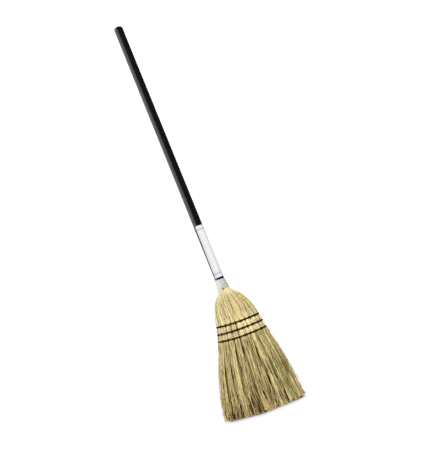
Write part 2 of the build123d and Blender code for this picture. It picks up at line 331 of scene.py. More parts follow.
def inside_point(side, station, share):
    """Outer and inner point of the front (-1) or back (1) half of the inside corn."""
    reach = across(station, mix(-inside_edge, inside_edge, share))
    outer = outline_point(inner_station(station), reach, side)
    return outer, Vector((outer.x, side * inside_gap, station.height))


def bed_sink(height):
    """Share of the corn's depth at which a bed lies, deeper in the skirt."""
    return mix(bed_depth, core_depth, ease(bed_end - height, 0, core_ease))


def quads(rows):
    """Faces between rows of vertex numbers."""
    faces = []
    for upper, lower in zip(rows, rows[1:]):
        faces += zip(upper, upper[1:], lower[1:], lower)
    return faces


def sheet_faces(outer, inner):
    """Faces of a closed sheet between two grids of vertex numbers."""
    faces = quads(outer) + quads([row[::-1] for row in inner])
    rims = (
        (inner[0], outer[0]),
        ([row[-1] for row in inner], [row[-1] for row in outer]),
        (inner[-1][::-1], outer[-1][::-1]),
        ([row[0] for row in inner[::-1]], [row[0] for row in outer[::-1]]),
    )
    for rim in rims:
        faces += quads(rim)
    return faces


def new_mesh(name, points, edges, faces):
    mesh = bpy.data.meshes.new(name)
    mesh.from_pydata(points, edges, faces)
    return mesh


def guide_mesh(name, points, columns, bed_bottom, flip):
    """A grid that strands follow, with its own map and the inner points, and a bed that faces outwards."""
    vertices = []

    def grid(rows, shares, depth_at, bed):
        numbers = []
        for row in range(rows + 1):
            along = row / guide_rows
            station = station_at(mix(corn_top, 0, along))
            depth = depth_at(station.height)
            numbers.append(range(len(vertices), len(vertices) + len(shares)))
            for share in shares:
                outer, inner = points(station, share)
                lift = tip_lift(outer.x) * max(1 - station.height / bottom_row, 0) ** 2
                outer.z += lift
                inner.z += lift
                coord = ((share + guide_margin) / (1 + 2 * guide_margin), along)
                vertices.append((outer.lerp(inner, depth), inner, coord, bed))
        return numbers

    shares = [mix(-guide_margin, 1 + guide_margin, i / columns) for i in range(columns + 1)]
    faces = quads(grid(guide_rows, shares, lambda height: 0, 0))
    bed_rows = int(guide_rows * (corn_top - bed_bottom) / corn_top)
    bed_columns = columns // 2
    bed_shares = [i / bed_columns for i in range(bed_columns + 1)]
    bed_outer = grid(bed_rows, bed_shares, bed_sink, 1)
    bed_inner = grid(bed_rows, bed_shares, lambda height: 1, 1)
    bed_faces = sheet_faces(bed_outer, bed_inner)
    faces += [face[::-1] for face in bed_faces] if flip else bed_faces
    positions, inners, coords, bed_flags = zip(*vertices)
    mesh = new_mesh(name, positions, [], faces)
    uv = mesh.uv_layers.new(name="guide")
    for loop in mesh.loops:
        uv.data[loop.index].uv = coords[loop.vertex_index]
    inner_attribute = mesh.attributes.new("inner", "FLOAT_VECTOR", "POINT")
    inner_attribute.data.foreach_set("vector", [value for inner in inners for value in inner])
    bed_attribute = mesh.attributes.new("bed", "FLOAT", "POINT")
    bed_attribute.data.foreach_set("value", bed_flags)
    return mesh


# Node trees

def open_sockets(sockets, name=None):
    return [s for s in sockets if not s.is_unavailable and name in (None, s.name)]


def math_method(operation):
    return lambda self, *others: self.build.math(operation, self, *others)


class Value:
    """A value in a node tree. What is worked out from it becomes nodes."""

    def __init__(self, build, socket):
        self.build = build
        self.socket = socket

    __add__ = math_method("ADD")
    __sub__ = math_method("SUBTRACT")
    __mul__ = math_method("MULTIPLY")
    __truediv__ = math_method("DIVIDE")
    __pow__ = math_method("POWER")
    floor = math_method("FLOOR")
    fract = math_method("FRACT")
    sine = math_method("SINE")
    cosine = math_method("COSINE")
    absolute = math_method("ABSOLUTE")
    exponent = math_method("EXPONENT")
    at_least = math_method("MAXIMUM")
    at_most = math_method("MINIMUM")

    def map_range(self, from_low, from_high, to_low=0.0, to_high=1.0, smooth=False):
        places = (self, from_low, from_high, to_low, to_high)
        kind = "SMOOTHSTEP" if smooth else "LINEAR"
        return self.build.apply("ShaderNodeMapRange", *places, interpolation_type=kind)


class Tree:
    """A node tree with short ways to add nodes and join them."""

    def __init__(self, tree):
        self.tree = tree

    def add(self, kind, inputs=None, **settings):
        node = self.tree.nodes.new(kind)
        for name, value in settings.items():
            setattr(node, name, value)
        for name, value in (inputs or {}).items():
            self.feed(open_sockets(node.inputs, name)[0], value)
        return node

    def feed(self, socket, value):
        if isinstance(value, bpy.types.Node):
            value = self.out(value)
        if isinstance(value, Value):
            self.tree.links.new(value.socket, socket)
        else:
            socket.default_value = value

    def out(self, node, name=None):
        return Value(self, open_sockets(node.outputs, name)[0])

    def value(self, kind, inputs=None, **settings):
        return self.out(self.add(kind, inputs, **settings))

    def apply(self, kind, *values, **settings):
        """The result of a node whose open inputs take the values in turn."""
        node = self.add(kind, **settings)
        for socket, value in zip(open_sockets(node.inputs), values):
            self.feed(socket, value)
        return self.out(node)

    def math(self, operation, *values):
        return self.apply("ShaderNodeMath", *values, operation=operation)

    def vector_math(self, operation, *values):
        return self.apply("ShaderNodeVectorMath", *values, operation=operation)

    def mix(self, low, high, share):
        return self.apply("ShaderNodeMix", share, low, high, data_type="FLOAT", clamp_factor=False)

    def mix_colors(self, low, high, share, blend="MIX"):
        return self.apply("ShaderNodeMix", share, low, high, data_type="RGBA", blend_type=blend)

    def combine(self, x, y, z):
        return self.apply("ShaderNodeCombineXYZ", x, y, z)

    def axis(self, vector, name):
        return self.out(self.add("ShaderNodeSeparateXYZ", {"Vector": vector}), name)


def geometry_tree(name, shape, counts, amounts):
    """A new geometry tree with named inputs: its builder, what it is given and the socket of its result."""
    tree = bpy.data.node_groups.new(name, "GeometryNodeTree")
    kinds = {"Geometry": [shape], "Int": counts, "Float": amounts}
    for kind, labels in kinds.items():
        for label in labels:
            tree.interface.new_socket(name=label, in_out="INPUT", socket_type="NodeSocket" + kind)
    tree.interface.new_socket(name="Geometry", in_out="OUTPUT", socket_type="NodeSocketGeometry")
    build = Tree(tree)
    inputs = build.add("NodeGroupInput")
    given = {label: build.out(inputs, label) for labels in kinds.values() for label in labels}
    return build, SimpleNamespace(**given), build.add("NodeGroupOutput").inputs["Geometry"]


def named_attribute(build, name, kind="FLOAT"):
    node = build.add("GeometryNodeInputNamedAttribute", {"Name": name}, data_type=kind)
    return build.out(node, "Attribute")


def store(build, geometry, values):
    for name, value in values.items():
        inputs = {"Geometry": geometry, "Name": name, "Value": value}
        geometry = build.value("GeometryNodeStoreNamedAttribute", inputs, data_type="FLOAT", domain="POINT")
    return geometry


def tube(build, curve, sides, radius):
    """A smooth tube with closed ends along a curve."""
    profile = build.add("GeometryNodeCurvePrimitiveCircle", {"Resolution": sides, "Radius": 1.0})
    inputs = {"Curve": curve, "Profile Curve": profile, "Scale": radius, "Fill Caps": True}
    return build.add("GeometryNodeSetShadeSmooth", {"Geometry": build.add("GeometryNodeCurveToMesh", inputs)})


# Seeds of the random draws, for single strands and for the clumps and locks that they lie in
draw_seeds = {
    "clump end": 2, "strand end": 3, "strand place": 4, "clump place": 5, "lock pull": 6, "lock place": 7,
    "lock drift": 8, "clump depth": 9, "strand depth": 10, "strand flare": 12, "strand size": 13,
    "strand tint": 14, "clump tint": 15, "lock tint": 16, "strand crossing": 17, "strand bow": 18,
}

# Noise that bends clumps, strands and locks along their length: its seed, and its waves from top to tips
wander_noise = {
    "clump sway": (6.0, 7.0), "strand sway": (7.0, 9.0), "clump roll": (13.0, 8.0), "lock sink": (11.0, 9.0),
}
wander_element_step = 3.7
wander_seed_step = 0.37

# How strands differ: a pair is the lowest and highest value
strand_end_share = (0.5, 1.0)
strand_size = (0.72, 1.28)
strand_sway = 0.3
sway_looseness = 0.7
strand_layer = 0.25
layer_power = 1.3
flare_power = 5.0
root_reach = 0.35

# How clumps and locks gather, part and sink
parting_length = 0.07
clump_stray = 0.6
clump_hold = (1.0, 0.75)
clump_open_from = 0.75
clump_proud = (0.4, 0.55)
lock_stray = 0.4
lock_pull_share = (0.5, 1.3)
lock_sink = 2.6
lock_sink_least = 0.25

# Edges of the guide's map that strands keep off
guide_side = 0.002
guide_end = 0.001

looseness = ("lock_gather", "lock_drift", "lock_depth", "clump_gather", "sway")


def corn_strands_tree():
    """Strands along a guide surface, drawn together in clumps and locks that part towards the tips."""
    counts = ("strands", "rings", "sides", "locks", "clumps", "seed")
    amounts = (
        "top", "knee", "knee_share", "bottom", "bottom_scatter", "loose_from", *looseness, "clump_roll",
        "root_sink", "tip_sink", "depth_low", "depth_high", "flare", "root_radius", "tip_radius", "shade",
        "crossing", "bow",
    )
    build, given, result = geometry_tree("corn_strands", "guide", counts, amounts)
    index = build.value("GeometryNodeInputIndex")
    strand = ((index + 0.5) / given.rings).floor()
    step = index - strand * given.rings
    share = step / (given.rings - 1)
    place = (strand + 0.5) / given.strands
    clump = (place * given.clumps).floor()
    lock = (place * given.locks).floor()

    def random(element, draw):
        inputs = {"ID": element, "Seed": given.seed + draw_seeds[draw]}
        return build.value("FunctionNodeRandomValue", inputs, data_type="FLOAT")

    def centred(element, draw):
        return random(element, draw) - 0.5

    def middle(element, count, draw, stray):
        return (element + (centred(element, draw) * stray + 0.5)) / count

    uneven = random(clump, "clump end") ** 2 * build.mix(*strand_end_share, random(strand, "strand end"))
    lowest = given.bottom - given.bottom_scatter * uneven
    upper = (share / given.knee_share).at_most(1.0)
    lower = share.map_range(given.knee_share, 1.0)
    along = build.mix(build.mix(given.top, given.knee, upper), lowest, lower)
    loose = along.map_range(given.loose_from, 1.0, smooth=True)
    parted = along.map_range(given.loose_from, given.loose_from + parting_length, smooth=True)
    half_loose = build.mix(parted, loose, 0.5)

    def wander(element, name):
        seed, waves = wander_noise[name]
        where = (element * wander_element_step, along * waves, given.seed * wander_seed_step + seed)
        inputs = {"Vector": build.combine(*where), "Scale": 1.0, "Detail": 1.0}
        return build.value("ShaderNodeTexNoise", inputs) - 0.5

    # Place across the guide
    column = place + centred(strand, "strand place") / given.strands
    clump_pull = given.clump_gather * along.map_range(clump_open_from, 1.0, *clump_hold) * parted
    column = build.mix(column, middle(clump, given.clumps, "clump place", clump_stray), clump_pull)
    lock_pull = given.lock_gather * half_loose * build.mix(*lock_pull_share, random(lock, "lock pull"))
    column = build.mix(column, middle(lock, given.locks, "lock place", lock_stray), lock_pull)
    drift = centred(lock, "lock drift") * given.lock_drift * loose
    sway = wander(clump, "clump sway") + wander(strand, "strand sway") * strand_sway
    sway = sway * given.sway * build.mix(parted, loose, sway_looseness)
    slope = centred(strand, "strand crossing") * given.crossing * along.map_range(given.loose_from, 1.0)
    bow = centred(strand, "strand bow") * given.bow * (share ** 2 * pi).sine()
    column = column + (drift + sway + slope + bow) / given.locks
    guide_u = column.map_range(-guide_margin, 1 + guide_margin).at_least(guide_side).at_most(1 - guide_side)
    guide_v = along.at_least(guide_end).at_most(1 - guide_end)
    where = build.combine(guide_u, guide_v, 0.0)

    def sample(value):
        uv_map = named_attribute(build, "guide", "FLOAT_VECTOR")
        inputs = {"Mesh": given.guide, "Value": value, "UV Map": uv_map, "Sample UV": where}
        return build.out(build.add("GeometryNodeSampleUVSurface", inputs, data_type="FLOAT_VECTOR"), "Value")

    # Depth below the guide
    proud = random(clump, "clump depth").map_range(*clump_proud, smooth=True)
    rolling = wander(clump, "clump roll") * half_loose * given.clump_roll + proud
    rolling = rolling.at_least(0.0).at_most(1.0)
    layer = build.mix(rolling, random(strand, "strand depth"), strand_layer) ** layer_power
    depth = build.mix(given.depth_low, given.depth_high, layer)
    sunk_lock = (wander(lock, "lock sink") * lock_sink + lock_sink_least).at_least(0.0)
    depth = given.lock_depth * sunk_lock * parted + depth
    depth = given.root_sink * share.map_range(0.0, root_reach, 1.0, 0.0, smooth=True) + depth
    depth = given.tip_sink * (lower * lower) + depth
    depth = depth - given.flare * random(strand, "strand flare") ** flare_power * loose ** 2

    outer = sample(build.add("GeometryNodeInputPosition"))
    inward = build.vector_math("SUBTRACT", sample(named_attribute(build, "inner", "FLOAT_VECTOR")), outer)
    size = build.mix(*strand_size, random(strand, "strand size"))
    radius = build.mix(given.root_radius, given.tip_radius, share) * size
    sunk = build.mix(radius, build.vector_math("LENGTH", inward), depth)
    offset = build.vector_math("SCALE", build.vector_math("NORMALIZE", inward), sunk)
    position = build.vector_math("ADD", outer, offset)
    kept = {
        "tint": random(strand, "strand tint"),
        "clump": random(clump, "clump tint"),
        "lock": random(lock, "lock tint"),
        "along": along,
        "deep": depth + given.shade,
        "thickness": radius,
    }
    points = store(build, build.add("GeometryNodePoints", {"Count": given.strands * given.rings}), kept)
    points = build.add("GeometryNodeSetPosition", {"Geometry": points, "Position": position})
    inputs = {"Points": points, "Curve Group ID": strand, "Weight": step}
    curves = build.add("GeometryNodePointsToCurves", inputs)
    tubes = tube(build, curves, given.sides, named_attribute(build, "thickness"))
    build.feed(result, build.add("GeometryNodeRemoveAttribute", {"Geometry": tubes, "Name": "thickness"}))
    return build.tree


# Bunches of corn: looks of the bed, which is painted in deep shade, how far stalks and fibres pass each other
# at the rows and where the tips are, as shares of the drop, and how much more strays sway
shaded_bed_looks = {"tint": 0.5, "clump": 0.5, "lock": 0.5, "deep": 0.7, "along": 0.3}
stalk_overrun = 0.16
fibre_start = 0.06
tips_share = 0.999
stray_sway = 3.5


def corn_bunch_tree(strands_tree):
    """A bunch of corn: a bed painted in shade, the pressed stalks above and between the rows, and the loose
    fibres below.
    """
    counts = ("stalks", "fibres", "straws", "strays", "locks", "clumps", "seed")
    amounts = ("top", "join", "rows_end", "fibre_depth", "shade", *looseness)
    build, given, result = geometry_tree("corn_bunch", "guide", counts, amounts)
    inputs = {"Geometry": given.guide, "Selection": named_attribute(build, "bed")}
    parted = build.add("GeometryNodeSeparateGeometry", inputs)
    bed = store(build, build.out(parted, "Selection"), shaded_bed_looks)
    shared = {name: getattr(given, name) for name in ("seed", "locks", *looseness)}
    shared.update(guide=build.out(parted, "Inverted"), sides=4, loose_from=given.rows_end)

    def family(**values):
        return build.value("GeometryNodeGroup", {**shared, **values}, node_tree=strands_tree)

    shoulder = family(
        strands=given.stalks, clumps=given.stalks, rings=13, top=given.top,
        knee=build.mix(given.top, given.join, 0.5), knee_share=0.5, bottom=given.join, depth_high=0.3,
        bow=0.5, root_radius=0.42 * mm, tip_radius=0.72 * mm,
    )
    rows = family(
        strands=given.stalks, clumps=given.clumps, rings=17, top=given.join, knee=given.rows_end,
        knee_share=0.7, bottom=given.rows_end + stalk_overrun, bottom_scatter=0.3, depth_high=0.28,
        tip_sink=0.1, crossing=0.6, root_radius=0.74 * mm, tip_radius=0.2 * mm,
    )
    fibre_top = given.rows_end - fibre_start
    fibre_knee = build.mix(fibre_top, tips_share, 0.5)
    below = dict(rings=10, top=fibre_top, knee=fibre_knee, knee_share=0.5, bottom=tips_share)
    fibres = family(
        **below, strands=given.fibres, clumps=given.clumps, bottom_scatter=0.035, root_sink=0.3,
        depth_low=0.04, depth_high=given.fibre_depth, clump_roll=1.4, flare=0.15, crossing=0.15,
        root_radius=0.52 * mm, tip_radius=0.36 * mm, shade=given.shade,
    )
    # A negative shade makes the straws take the painted highlight of the outermost fibres
    straws = family(
        **below, strands=given.straws, clumps=given.straws, bottom_scatter=0.12, root_sink=0.2,
        depth_low=-0.02, depth_high=0.08, lock_depth=0.2, crossing=1.6, root_radius=0.72 * mm,
        tip_radius=0.5 * mm, shade=-0.15,
    )
    strays = family(
        **below, strands=given.strays, clumps=given.strays, bottom_scatter=0.25, root_sink=0.25,
        depth_low=-0.06, depth_high=0.1, lock_gather=0.1, lock_depth=0.0, sway=given.sway * stray_sway,
        flare=0.1, root_radius=0.5 * mm, tip_radius=0.28 * mm,
    )
    joined = build.add("GeometryNodeJoinGeometry")
    for part in (bed, shoulder, rows, fibres, straws, strays):
        build.feed(joined.inputs["Geometry"], part)
    build.feed(result, joined)
    return build.tree


def cord_tree():
    """Twine of twisted plies, or a single wire, along a path of edges."""
    amounts = ("spacing", "lay", "ply_offset", "ply_radius")
    build, given, result = geometry_tree("cord", "path", ("plies", "sides"), amounts)
    curve = build.add("GeometryNodeMeshToCurve", {"Mesh": given.path})
    inputs = {"Curve": curve, "Length": given.spacing}
    curve = build.add("GeometryNodeResampleCurve", inputs, mode="LENGTH")
    inputs = {"Geometry": curve, "Amount": given.plies}
    plies = build.add("GeometryNodeDuplicateElements", inputs, domain="SPLINE")
    ply = build.out(plies, "Duplicate Index") / given.plies
    length = build.out(build.add("GeometryNodeSplineParameter"), "Length")
    turn = (length / given.lay + ply) * tau
    normal = build.value("GeometryNodeInputNormal")
    side = build.vector_math("CROSS_PRODUCT", build.value("GeometryNodeInputTangent"), normal)
    ahead = build.vector_math("SCALE", normal, turn.cosine())
    beside = build.vector_math("SCALE", side, turn.sine())
    out = build.vector_math("SCALE", build.vector_math("ADD", ahead, beside), given.ply_offset)
    laid = build.add("GeometryNodeSetPosition", {"Geometry": plies, "Offset": out})
    build.feed(result, tube(build, laid, given.sides, given.ply_radius))
    return build.tree


def put(name, data):
    """An object in the scene."""
    thing = bpy.data.objects.new(name, data)
    scene.collection.objects.link(thing)
    return thing


def shape_piece(name, mesh, tree, values, node, slot):
    """A piece made by a geometry tree, as a plain mesh that stands for one of the solids."""
    piece = put(name, mesh)
    modifier = piece.modifiers.new("shape", "NODES")
    modifier.node_group = tree
    for item in tree.interface.items_tree:
        if item.name in values:
            modifier[item.identifier] = values[item.name]
    seen = bpy.context.evaluated_depsgraph_get()
    evaluated = piece.evaluated_get(seen)
    shaped = bpy.data.meshes.new_from_object(evaluated, preserve_all_data_layers=True, depsgraph=seen)
    piece.modifiers.clear()
    piece.data = shaped
    shaped.name = name
    shaped.materials.clear()
    shaped.materials.append(materials[slot])
    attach(piece, "root")
    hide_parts(node)


# Materials: each is worked out from the place on the object

# Where nearly all values of a noise lie
noise_low, noise_high = 0.3, 0.7


def paint(red, green, blue):
    """A colour as seen on a screen, 0 to 255, as the light values that shaders take."""
    values = [value / 255 for value in (red, green, blue)]
    return (*(v / 12.92 if v <= 0.04045 else ((v + 0.055) / 1.055) ** 2.4 for v in values), 1.0)


def new_material(finish):
    material = bpy.data.materials.new(finish.__name__)
    material.use_nodes = True
    material.node_tree.nodes.clear()
    build = Tree(material.node_tree)
    place = build.out(build.add("ShaderNodeTexCoord"), "Object")
    shader = build.add("ShaderNodeBsdfPrincipled", finish(build, place))
    build.add("ShaderNodeOutputMaterial", {"Surface": shader})
    return material


def noise(place, stretch, detail=2.0, roughness=0.5):
    """Noise on a place that is stretched along X, Y and Z."""
    mapping = place.build.add("ShaderNodeMapping", {"Vector": place, "Scale": stretch})
    inputs = {"Vector": mapping, "Scale": 1.0, "Detail": detail, "Roughness": roughness}
    return place.build.value("ShaderNodeTexNoise", inputs)


def by_noise(texture, low, high):
    return texture.map_range(noise_low, noise_high, low, high)


def ramp(value, stops):
    node = value.build.add("ShaderNodeValToRGB", {"Fac": value})
    elements = node.color_ramp.elements
    while len(elements) < len(stops):
        elements.new(0.5)
    for element, (position, color) in zip(elements, stops):
        element.position = position
        element.color = color
    return value.build.out(node, "Color")


def two_tone(texture, low, high):
    return ramp(texture, [(noise_low, paint(*low)), (noise_high, paint(*high))])


def bump(height, strength, distance):
    inputs = {"Height": height, "Strength": strength, "Distance": distance}
    return height.build.value("ShaderNodeBump", inputs)


def stained_wood(build, place):
    grain = noise(place, (420, 420, 9), 4.0, 0.6)
    pores = noise(place, (1500, 1500, 40))
    stops = [(0.35, paint(7, 5, 5)), (0.55, paint(16, 12, 12)), (0.72, paint(36, 27, 25))]
    return {
        "Base Color": ramp(grain, stops),
        "Roughness": by_noise(grain, 0.22, 0.28),
        "Normal": bump(build.mix(grain, pores, 0.2), 0.02, 0.15 * mm),
    }


def label_paper(build, place):
    fibre = noise(place, (1400, 1400, 1400), 3.0)
    paper = two_tone(fibre, (198, 197, 198), (208, 207, 208))
    height = build.axis(place, "Z")
    ends = (label_low.z + label_band_inset, label_high.z - label_band_inset)
    low_band, high_band = (build.math("COMPARE", height, end, label_band_width / 2) for end in ends)
    return {
        "Base Color": build.mix_colors(paper, paint(176, 177, 180), low_band.at_least(high_band)),
        "Roughness": by_noise(fibre, 0.6, 0.7),
        "Specular IOR Level": 0.05,
        "Normal": bump(fibre, 0.04, 0.05 * mm),
    }


def tinned_wire(build, place):
    dull = noise(place, (500, 500, 500), 3.0)
    tin = two_tone(dull, (212, 211, 208), (232, 231, 228))
    height = build.axis(place, "Z")
    # The tin turns warmer towards the bottom of the winding
    warmer_below = height.map_range(winding_bottom, winding_bottom + wire_warm_reach, 0.55, 0.0, smooth=True)
    return {
        "Base Color": build.mix_colors(tin, paint(222, 206, 164), warmer_below),
        "Metallic": 0.35,
        "Roughness": by_noise(dull, 0.34, 0.5),
    }


def nail_steel(build, place):
    rust = noise(place, (900, 900, 900), 4.0)
    return {
        "Base Color": two_tone(rust, (156, 122, 104), (192, 166, 150)),
        "Metallic": 0.6,
        "Roughness": by_noise(rust, 0.6, 0.4),
        "Normal": bump(rust, 0.2, 0.1 * mm),
    }


def sewing_twine(build, place):
    fuzz = noise(place, (1800, 1800, 1800), 3.0, 0.6)
    return {
        "Base Color": two_tone(fuzz, (38, 22, 0), (76, 48, 6)),
        "Roughness": 0.85,
        "Specular IOR Level": 0.05,
        "Normal": bump(fuzz, 0.5, 0.15 * mm),
    }


# Broom corn: tones from greenish to brown, and tints from greenish to reddish for the loose fibres
corn_tones = (
    (0.1, paint(156, 152, 80)),
    (0.3, paint(196, 188, 130)),
    (0.5, paint(217, 207, 160)),
    (0.7, paint(208, 188, 140)),
    (0.9, paint(174, 132, 86)),
)
corn_casts = ((0.05, (0.95, 1.0, 0.96, 1)), (0.5, (1, 1, 1, 1)), (0.95, (1.0, 0.91, 0.94, 1)))
# Pale cream of the stalks near the wire, partly a painted glare
cream_and_glare_paint = paint(208, 197, 172)
pressed_paint = paint(236, 220, 171)
loose_paint = paint(228, 209, 146)
# Pale straw, also the painted highlight on the fibres nearest the surface
pale_and_highlight_paint = paint(244, 228, 164)
dark_paint = paint(104, 86, 46)
dull_paint = paint(110, 86, 36)
bright_paint = paint(238, 210, 128)
warm_paint = paint(190, 138, 72)
# Painted shade between the clumps, in an olive and a brown
gap_shade_paints = (paint(112, 96, 50), paint(130, 96, 62))

# Where each change sets in and is complete, as shares of the way from the top of the corn to the tips
cream_and_glare_fade = (0.05, 0.14)
pale_fade = (0.25, 0.33)
loose_fade = (0.425, 0.46)
dull_fade = (0.6, 0.9)
bright_fade = (0.93, 0.99)
end_fade = (0.97, 1.0)

# The same from side to side, along X
pale_and_lit_side = (-20 * mm, 5 * mm)
warm_side = (-30 * mm, -80 * mm)
cast_side = (-55 * mm, -15 * mm)


def broom_corn(build, place):
    tint, clump, lock, along, deep = (
        build.out(build.add("ShaderNodeAttribute", attribute_name=name), "Fac")
        for name in ("tint", "clump", "lock", "along", "deep")
    )
    side = build.axis(place, "X")
    streak = noise(place, (900, 900, 45), 3.0)
    patch = noise(place, (380, 380, 50))
    loose = along.map_range(*loose_fade)

    # Tones of clumps and strands
    tone = build.mix(build.mix(lock, clump, 0.75), tint, 0.15)
    tone = tone.map_range(build.mix(0.2, 0.24, loose), build.mix(0.8, 0.76, loose))
    tone = tone + by_noise(streak, -0.1, 0.1) + by_noise(patch, -0.2, 0.2)
    color = ramp(tone, corn_tones)

    # Pale pressed stalks, and light and dark clumps below the rows, with a painted highlight on the fibres
    # nearest the surface
    # The shoulder is pale, and paler at the left, where light is painted onto that side
    pale_and_lit_shoulder = side.map_range(*pale_and_lit_side, 0.6, 0.12)
    pale_and_lit = along.map_range(*pale_fade, pale_and_lit_shoulder, build.mix(0.8, 0.4, loose), smooth=True)
    light = deep.map_range(-0.15, 0.1, 0.75, 0.0)
    light = light.at_least((clump * 3.9).fract().map_range(0.55, 0.85, 0.0, 0.7))
    dark = (clump * 7.3).fract().map_range(0.0, 0.42, 0.68, 0.0)
    dark = dark.at_least(patch.map_range(0.5, 0.7, 0.0, 0.5))

    # Bright ends, warmer at the left, and painted shade between the clumps and on the deeper fibres, less so
    # at the ends
    bright = along.map_range(*bright_fade, 0.0, 0.5, smooth=True)
    warm = side.map_range(*warm_side) * along.map_range(*dull_fade, 0.0, 0.4)
    shade = deep.map_range(0.1, build.mix(0.4, 0.36, loose), 0.0, 0.95)
    layers = (
        # Cream stalks near the wire, partly a painted glare
        (cream_and_glare_paint, along.map_range(*cream_and_glare_fade, 0.85, 0.0, smooth=True)),
        (build.mix_colors(pressed_paint, loose_paint, loose), pale_and_lit),
        (pale_and_highlight_paint, light * loose),
        (dark_paint, dark * build.mix(0.08, 1.0, loose)),
        (dull_paint, along.map_range(*dull_fade, 0.0, 0.12)),
        (bright_paint, bright * tint),
        (warm_paint, warm * lock),
        (build.mix_colors(*gap_shade_paints, clump), shade * along.map_range(*end_fade, 1.0, 0.4)),
    )
    for layer, share in layers:
        color = build.mix_colors(color, layer, share)

    # Tints of the loose fibres
    hue = (lock * 5.3 + clump * 0.35).fract()
    hue = build.mix(hue, side.map_range(*cast_side, 0.9, 0.35), 0.35)
    return {
        "Base Color": build.mix_colors(color, ramp(hue, corn_casts), loose, "MULTIPLY"),
        "Roughness": by_noise(streak, 0.45, 0.65),
        "Specular IOR Level": 0.3,
        "Normal": bump(streak, 0.3, 0.15 * mm),
    }


finishes = (stained_wood, label_paper, tinned_wire, nail_steel, broom_corn, sewing_twine)
materials = {finish.__name__: new_material(finish) for finish in finishes}


# Pieces

# Corn of the hurl, of the two ends and inside: numbers of strands, clumps and locks, and how they part
parting = dict(lock_gather=0.3, lock_drift=0.3, lock_depth=0.6, clump_gather=0.8)
hurl_corn = dict(
    stalks=30, fibres=280, straws=5, strays=10, locks=1, clumps=6, fibre_depth=0.75, sway=0.7, **parting
)
end_corn = dict(
    stalks=64, fibres=1100, straws=16, strays=24, locks=7, clumps=28, fibre_depth=0.65, sway=1.0, **parting
)
# The inside corn is painted in more shade than the outer corn
inside_corn = dict(
    stalks=1, fibres=1500, straws=1, strays=1, locks=14, clumps=70, fibre_depth=1.0, sway=0.6,
    lock_drift=0.3, shade=0.3
)
hurl_guide_columns, end_guide_columns, inside_guide_columns = 12, 24, 40
corn_start = 0.002
rows_end = bottom_row - 6 * mm


def share_at(height):
    """Share of the way from the top of the corn down to the tips."""
    return (corn_top - height) / corn_top


def corn_bunches():
    """Each bunch's node, place across the head, strand values, seed, and what its guide takes."""
    faces = ((-1, "front"), (1, "back"))
    for index in range(1, hurl_columns - 1):
        middle = -1 + 2 * (index + 0.5) / hurl_columns
        for side, face in faces:
            guide = (partial(hurl_point, index, side), hurl_guide_columns, bed_end, side < 0)
            yield f"{face}_hurl_{index}", middle, hurl_corn, 100 * index + 10 * side + 8, guide
    for end, side in ((-1, "left"), (1, "right")):
        guide = (partial(shoulder_point, end), end_guide_columns, core_end, end > 0)
        yield f"{side}_shoulder_corn", end, end_corn, 2028 + 30 * end, guide
    for side, face in faces:
        guide = (partial(inside_point, side), inside_guide_columns, core_end, side < 0)
        yield f"{face}_inside_corn", 0, inside_corn, 3000 + 10 * side, guide


def make_corn():
    tree = corn_bunch_tree(corn_strands_tree())
    for node, share, corn, seed, guide in corn_bunches():
        join = share_at(row_height(row_count - 1, share))
        values = dict(corn, top=corn_start, join=join, rows_end=share_at(rows_end), seed=seed)
        shape_piece(node + "_strands", guide_mesh(node + "_guide", *guide), tree, values, node, "broom_corn")


def path_mesh(name, paths, closed):
    """Edges through points, for one or more paths that end or close."""
    points, edges = [], []
    for path in paths:
        numbers = range(len(points), len(points) + len(path))
        points += path
        edges += zip(numbers, numbers[1:])
        if closed:
            edges.append((numbers[-1], numbers[0]))
    return new_mesh(name, points, edges, [])


def wire_path():
    """The winding from its top end, which is bent into the hole in the handle, down to the nail."""
    steps = round(wire_turns * wire_turn_steps)
    path = []
    for step in range(steps + 1):
        share = step / steps
        turn = radians(wire_end_turn) - tau * wire_turns * (1 - share)
        radius = mix(wire_top_radius, neck_radius, share)
        height = mix(winding_top, winding_bottom, share)
        path.append(Vector((axis_x + radius * sin(turn), -radius * cos(turn), height)))
    inward = Vector((axis_x - path[0].x, -path[0].y, 0)).normalized()
    back = (path[0] - path[1]).normalized() * wire_diameter
    return [path[0] + back + inward * reach for reach in (wire_tuck, wire_bend)] + path


def twine_rise(share):
    """How far the twine's middle lies outside the outline, which is less at the grooves and the ends."""
    column = (share + 1) / 2 * hurl_columns
    groove = clamp(round(column), 1, hurl_columns - 1)
    drawn = exp(-(((column - groove) / groove_reach) ** 2))
    end = ease(abs(share), 1 - 2 / hurl_columns, 1)
    return mix(crest_rise[0], end_rise[0], end) + twine_seat - groove_pull * drawn


def twine_point(row, angle, lift, rise):
    """Point of a row's twine at an angle from the middle of the front, over or under the row's middle."""
    sine = sin(angle)
    share = copysign(abs(sine) ** (2 / sewn_squareness), sine)
    side = -1 if cos(angle) >= 0 else 1
    point = outline_point(station_at(row_height(row, share)), share, side, twine_rise(share) + rise)
    point.z += lift
    return point


def band_path(row):
    """Two turns of twine round the head, with both ends and the step between the turns behind."""
    path = []
    for step in range(2 * turn_steps + 1):
        turn = step / turn_steps
        lift = mix(turn_lift, -turn_lift, ease(turn, 1 - turn_step_span, 1 + turn_step_span))
        tucked = 1 - ease(turn, 0, turn_tuck_span) + ease(turn, 2 - turn_tuck_span, 2)
        path.append(twine_point(row, tau * turn - pi, lift, -tucked * twine_tuck))
    return path


